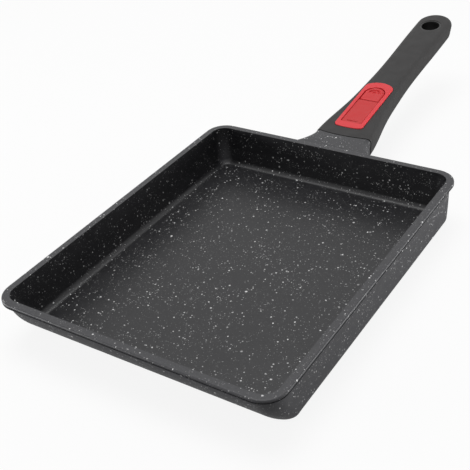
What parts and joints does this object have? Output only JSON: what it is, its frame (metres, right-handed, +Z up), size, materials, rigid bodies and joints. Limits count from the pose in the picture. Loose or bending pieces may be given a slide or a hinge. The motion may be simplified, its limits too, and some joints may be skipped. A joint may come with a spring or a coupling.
{
  "type": "omelette pan",
  "caption": "Shallow oblong omelette pan with a flared rim, speckled non-stick coat and a pull-off handle with red thumb release.",
  "frame": {"origin": "on the pan's flat underside, below the middle of the rim's outline", "axes": "+X towards the handle, +Z up, +Y to the left of someone looking along the handle from the pan"},
  "size_m": [0.3662, 0.16, 0.048],
  "materials": {
    "pan_coat": "cast aluminium under a dark non-stick coat with pale flecks",
    "base_steel": "brushed steel plate",
    "tongue_steel": "stamped stainless steel",
    "screw_steel": "zinc-plated screws",
    "spring_steel": "spring steel",
    "seal_rubber": "black silicone",
    "handle_plastic": "dark grey soft-touch plastic",
    "insert_brass": "knurled brass",
    "inlay_red": "satin red plastic",
    "button_red": "satin red plastic with grip ridges",
    "eyelet_black": "black moulded plastic"
  },
  "bodies": {
    "pan": {"pan_body": "pan_coat", "base_plate": "base_steel", "handle_tongue": "tongue_steel", "tongue_screws": "screw_steel"},
    "handle": {"front_seal": "seal_rubber", "upper_shell": "handle_plastic", "lower_shell": "handle_plastic", "shell_screws": "screw_steel", "shell_inserts": "insert_brass", "socket_sleeve": "tongue_steel", "catch_spring": "spring_steel", "catch_washer": "screw_steel", "catch_screw": "screw_steel", "inlay_frame": "inlay_red", "inlay_panel": "inlay_red", "button_spring": "spring_steel", "hanging_eyelet": "eyelet_black"},
    "thumb_button": {"release_button": "button_red", "button_plunger": "screw_steel", "plunger_clip": "spring_steel"}
  },
  "joints": [
    {"name": "handle_pull", "type": "slide", "parent": "pan", "child": "handle", "axis": [0.9914, 0, 0.1305], "range_m": [0, 0.045], "deforming": ["catch_spring"]},
    {"name": "button_press", "type": "slide", "parent": "handle", "child": "thumb_button", "axis": [0.1305, 0, -0.9914], "range_m": [0, 0.0015], "stiffness_N_per_m": 800, "deforming": ["button_spring", "catch_spring"]}
  ]
}
